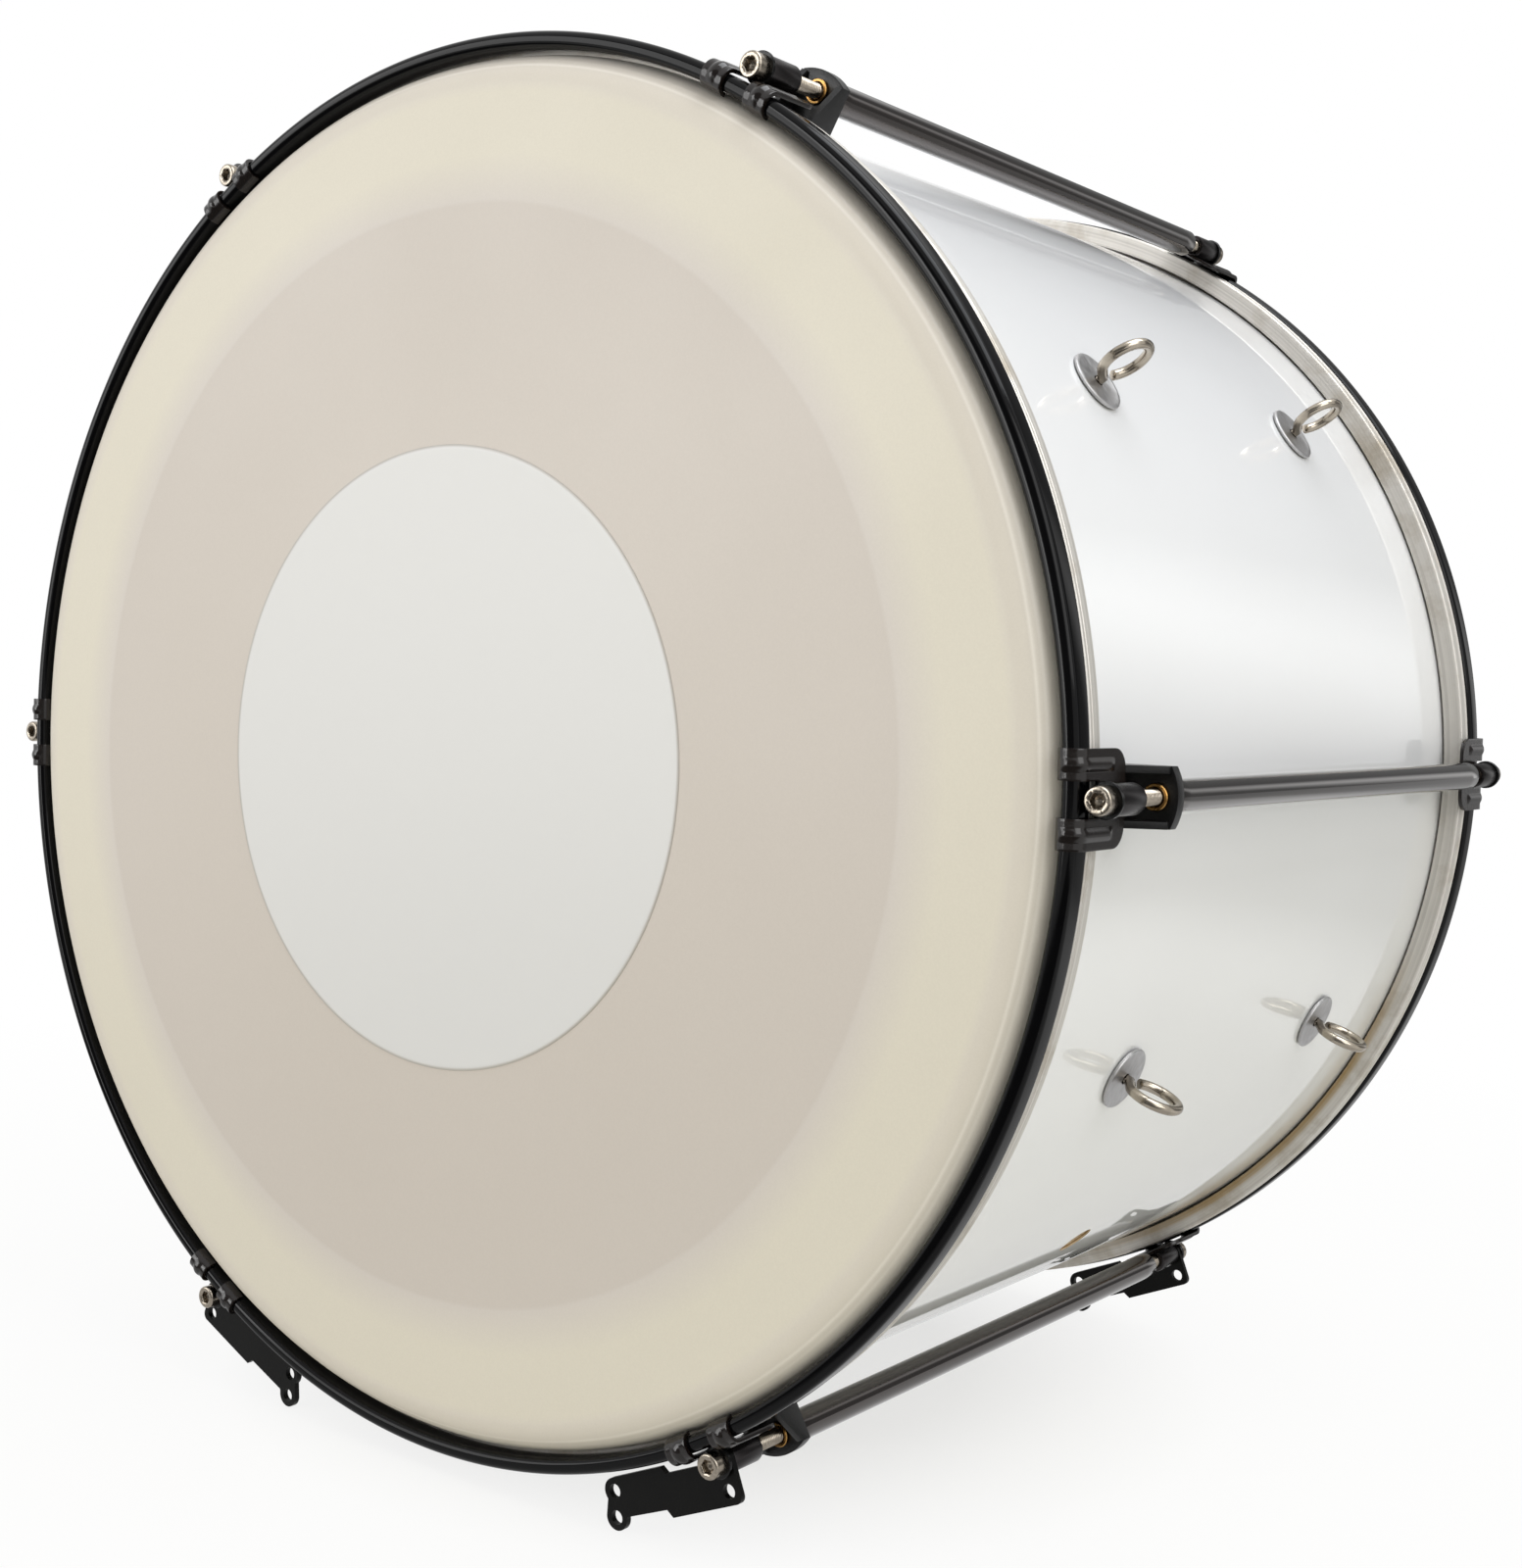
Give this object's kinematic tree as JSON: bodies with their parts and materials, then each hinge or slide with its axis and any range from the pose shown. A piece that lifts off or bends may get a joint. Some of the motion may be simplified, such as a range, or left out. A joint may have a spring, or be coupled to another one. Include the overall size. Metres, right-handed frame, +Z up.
{
  "type": "marching bass drum",
  "caption": "Marching bass drum: white shell, two heads under black hoops, held by claws, screws and long tension tubes, with eyebolts for a carrier.",
  "frame": {"origin": "middle of the drum's footprint, on the surface that its four foot plates stand on", "axes": "+Y along the drum's axis from the front head to the rear head, +X towards the side with the eyebolts, +Z up"},
  "size_m": [0.6072, 0.3997, 0.5861],
  "materials": {
    "shell_lacquer": "high-gloss white lacquer over plywood",
    "head_film": "smooth cream polyester film, satin",
    "dot_film": "thin white film bonded to the head, satin",
    "hoop_enamel": "gloss black enamel over aluminium",
    "flesh_hoop": "brushed, slightly stained aluminium",
    "claw_enamel": "gloss black enamel over pressed steel",
    "screw_steel": "stainless steel, machined",
    "tube_chrome": "dark satin plating over steel tube",
    "bracket_enamel": "satin black enamel over cast metal",
    "foot_enamel": "satin black enamel over steel plate",
    "eyebolt_nickel": "bright nickel plate",
    "washer_steel": "satin plated steel"
  },
  "bodies": {
    "shell_assembly": {"shell": "shell_lacquer", "tension_tube_1": "tube_chrome", "tension_tube_2": "tube_chrome", "tension_tube_3": "tube_chrome", "tension_tube_4": "tube_chrome", "tension_tube_5": "tube_chrome", "tension_tube_6": "tube_chrome", "lug_bracket_1": "bracket_enamel", "lug_bracket_2": "bracket_enamel", "lug_bracket_3": "bracket_enamel", "lug_bracket_4": "bracket_enamel", "lug_bracket_5": "bracket_enamel", "lug_bracket_6": "bracket_enamel", "eyebolt_upper_front": "eyebolt_nickel", "eyebolt_upper_rear": "eyebolt_nickel", "eyebolt_lower_front": "eyebolt_nickel", "eyebolt_lower_rear": "eyebolt_nickel", "eyebolt_washer_upper_front": "washer_steel", "eyebolt_washer_upper_rear": "washer_steel", "eyebolt_washer_lower_front": "washer_steel", "eyebolt_washer_lower_rear": "washer_steel", "eyebolt_nut_upper_front": "washer_steel", "eyebolt_nut_upper_rear": "washer_steel", "eyebolt_nut_lower_front": "washer_steel", "eyebolt_nut_lower_rear": "washer_steel"},
    "front_hoop_set": {"front_counterhoop": "hoop_enamel", "front_flesh_hoop": "flesh_hoop", "front_head": "head_film", "front_head_dot": "dot_film", "front_claw_1": "claw_enamel", "front_claw_2": "claw_enamel", "front_claw_3": "claw_enamel", "front_claw_4": "claw_enamel", "front_claw_5": "claw_enamel", "front_claw_6": "claw_enamel", "front_foot_plate_left": "foot_enamel", "front_foot_plate_right": "foot_enamel"},
    "front_screw_1": {"front_screw_1": "screw_steel"},
    "front_screw_2": {"front_screw_2": "screw_steel"},
    "front_screw_3": {"front_screw_3": "screw_steel"},
    "front_screw_4": {"front_screw_4": "screw_steel"},
    "front_screw_5": {"front_screw_5": "screw_steel"},
    "front_screw_6": {"front_screw_6": "screw_steel"},
    "rear_hoop_set": {"rear_counterhoop": "hoop_enamel", "rear_flesh_hoop": "flesh_hoop", "rear_head": "head_film", "rear_claw_1": "claw_enamel", "rear_claw_2": "claw_enamel", "rear_claw_3": "claw_enamel", "rear_claw_4": "claw_enamel", "rear_claw_5": "claw_enamel", "rear_claw_6": "claw_enamel", "rear_foot_plate_left": "foot_enamel", "rear_foot_plate_right": "foot_enamel"},
    "rear_screw_1": {"rear_screw_1": "screw_steel"},
    "rear_screw_2": {"rear_screw_2": "screw_steel"},
    "rear_screw_3": {"rear_screw_3": "screw_steel"},
    "rear_screw_4": {"rear_screw_4": "screw_steel"},
    "rear_screw_5": {"rear_screw_5": "screw_steel"},
    "rear_screw_6": {"rear_screw_6": "screw_steel"}
  },
  "joints": [
    {"name": "front_hoop_slide", "type": "slide", "parent": "shell_assembly", "child": "front_hoop_set", "axis": [0, -1, 0], "range_m": [0, 0.012]},
    {"name": "front_screw_1_turn", "type": "hinge", "parent": "front_hoop_set", "child": "front_screw_1", "pos_m": [0.29558, -0.1876, 0.2968], "axis": [0, -1, 0], "range_deg": [0, 4320]},
    {"name": "front_screw_2_turn", "type": "hinge", "parent": "front_hoop_set", "child": "front_screw_2", "pos_m": [0.14779, -0.1876, 0.55278], "axis": [0, -1, 0], "range_deg": [0, 4320]},
    {"name": "front_screw_3_turn", "type": "hinge", "parent": "front_hoop_set", "child": "front_screw_3", "pos_m": [-0.14779, -0.1876, 0.55278], "axis": [0, -1, 0], "range_deg": [0, 4320]},
    {"name": "front_screw_4_turn", "type": "hinge", "parent": "front_hoop_set", "child": "front_screw_4", "pos_m": [-0.29558, -0.1876, 0.2968], "axis": [0, -1, 0], "range_deg": [0, 4320]},
    {"name": "front_screw_5_turn", "type": "hinge", "parent": "front_hoop_set", "child": "front_screw_5", "pos_m": [-0.14779, -0.1904, 0.04083], "axis": [0, -1, 0], "range_deg": [0, 4320]},
    {"name": "front_screw_6_turn", "type": "hinge", "parent": "front_hoop_set", "child": "front_screw_6", "pos_m": [0.14779, -0.1904, 0.04083], "axis": [0, -1, 0], "range_deg": [0, 4320]},
    {"name": "rear_hoop_slide", "type": "slide", "parent": "shell_assembly", "child": "rear_hoop_set", "axis": [0, 1, 0], "range_m": [0, 0.012]},
    {"name": "rear_screw_1_turn", "type": "hinge", "parent": "rear_hoop_set", "child": "rear_screw_1", "pos_m": [0.29558, 0.1876, 0.2968], "axis": [0, 1, 0], "range_deg": [0, 4320]},
    {"name": "rear_screw_2_turn", "type": "hinge", "parent": "rear_hoop_set", "child": "rear_screw_2", "pos_m": [0.14779, 0.1876, 0.55278], "axis": [0, 1, 0], "range_deg": [0, 4320]},
    {"name": "rear_screw_3_turn", "type": "hinge", "parent": "rear_hoop_set", "child": "rear_screw_3", "pos_m": [-0.14779, 0.1876, 0.55278], "axis": [0, 1, 0], "range_deg": [0, 4320]},
    {"name": "rear_screw_4_turn", "type": "hinge", "parent": "rear_hoop_set", "child": "rear_screw_4", "pos_m": [-0.29558, 0.1876, 0.2968], "axis": [0, 1, 0], "range_deg": [0, 4320]},
    {"name": "rear_screw_5_turn", "type": "hinge", "parent": "rear_hoop_set", "child": "rear_screw_5", "pos_m": [-0.14779, 0.1904, 0.04083], "axis": [0, 1, 0], "range_deg": [0, 4320]},
    {"name": "rear_screw_6_turn", "type": "hinge", "parent": "rear_hoop_set", "child": "rear_screw_6", "pos_m": [0.14779, 0.1904, 0.04083], "axis": [0, 1, 0], "range_deg": [0, 4320]}
  ],
  "couplings": [
    {"joint": "front_screw_1_turn", "follows": "front_hoop_slide", "rad_per_m": 6283.2},
    {"joint": "front_screw_2_turn", "follows": "front_hoop_slide", "rad_per_m": 6283.2},
    {"joint": "front_screw_3_turn", "follows": "front_hoop_slide", "rad_per_m": 6283.2},
    {"joint": "front_screw_4_turn", "follows": "front_hoop_slide", "rad_per_m": 6283.2},
    {"joint": "front_screw_5_turn", "follows": "front_hoop_slide", "rad_per_m": 6283.2},
    {"joint": "front_screw_6_turn", "follows": "front_hoop_slide", "rad_per_m": 6283.2},
    {"joint": "rear_screw_1_turn", "follows": "rear_hoop_slide", "rad_per_m": 6283.2},
    {"joint": "rear_screw_2_turn", "follows": "rear_hoop_slide", "rad_per_m": 6283.2},
    {"joint": "rear_screw_3_turn", "follows": "rear_hoop_slide", "rad_per_m": 6283.2},
    {"joint": "rear_screw_4_turn", "follows": "rear_hoop_slide", "rad_per_m": 6283.2},
    {"joint": "rear_screw_5_turn", "follows": "rear_hoop_slide", "rad_per_m": 6283.2},
    {"joint": "rear_screw_6_turn", "follows": "rear_hoop_slide", "rad_per_m": 6283.2}
  ]
}
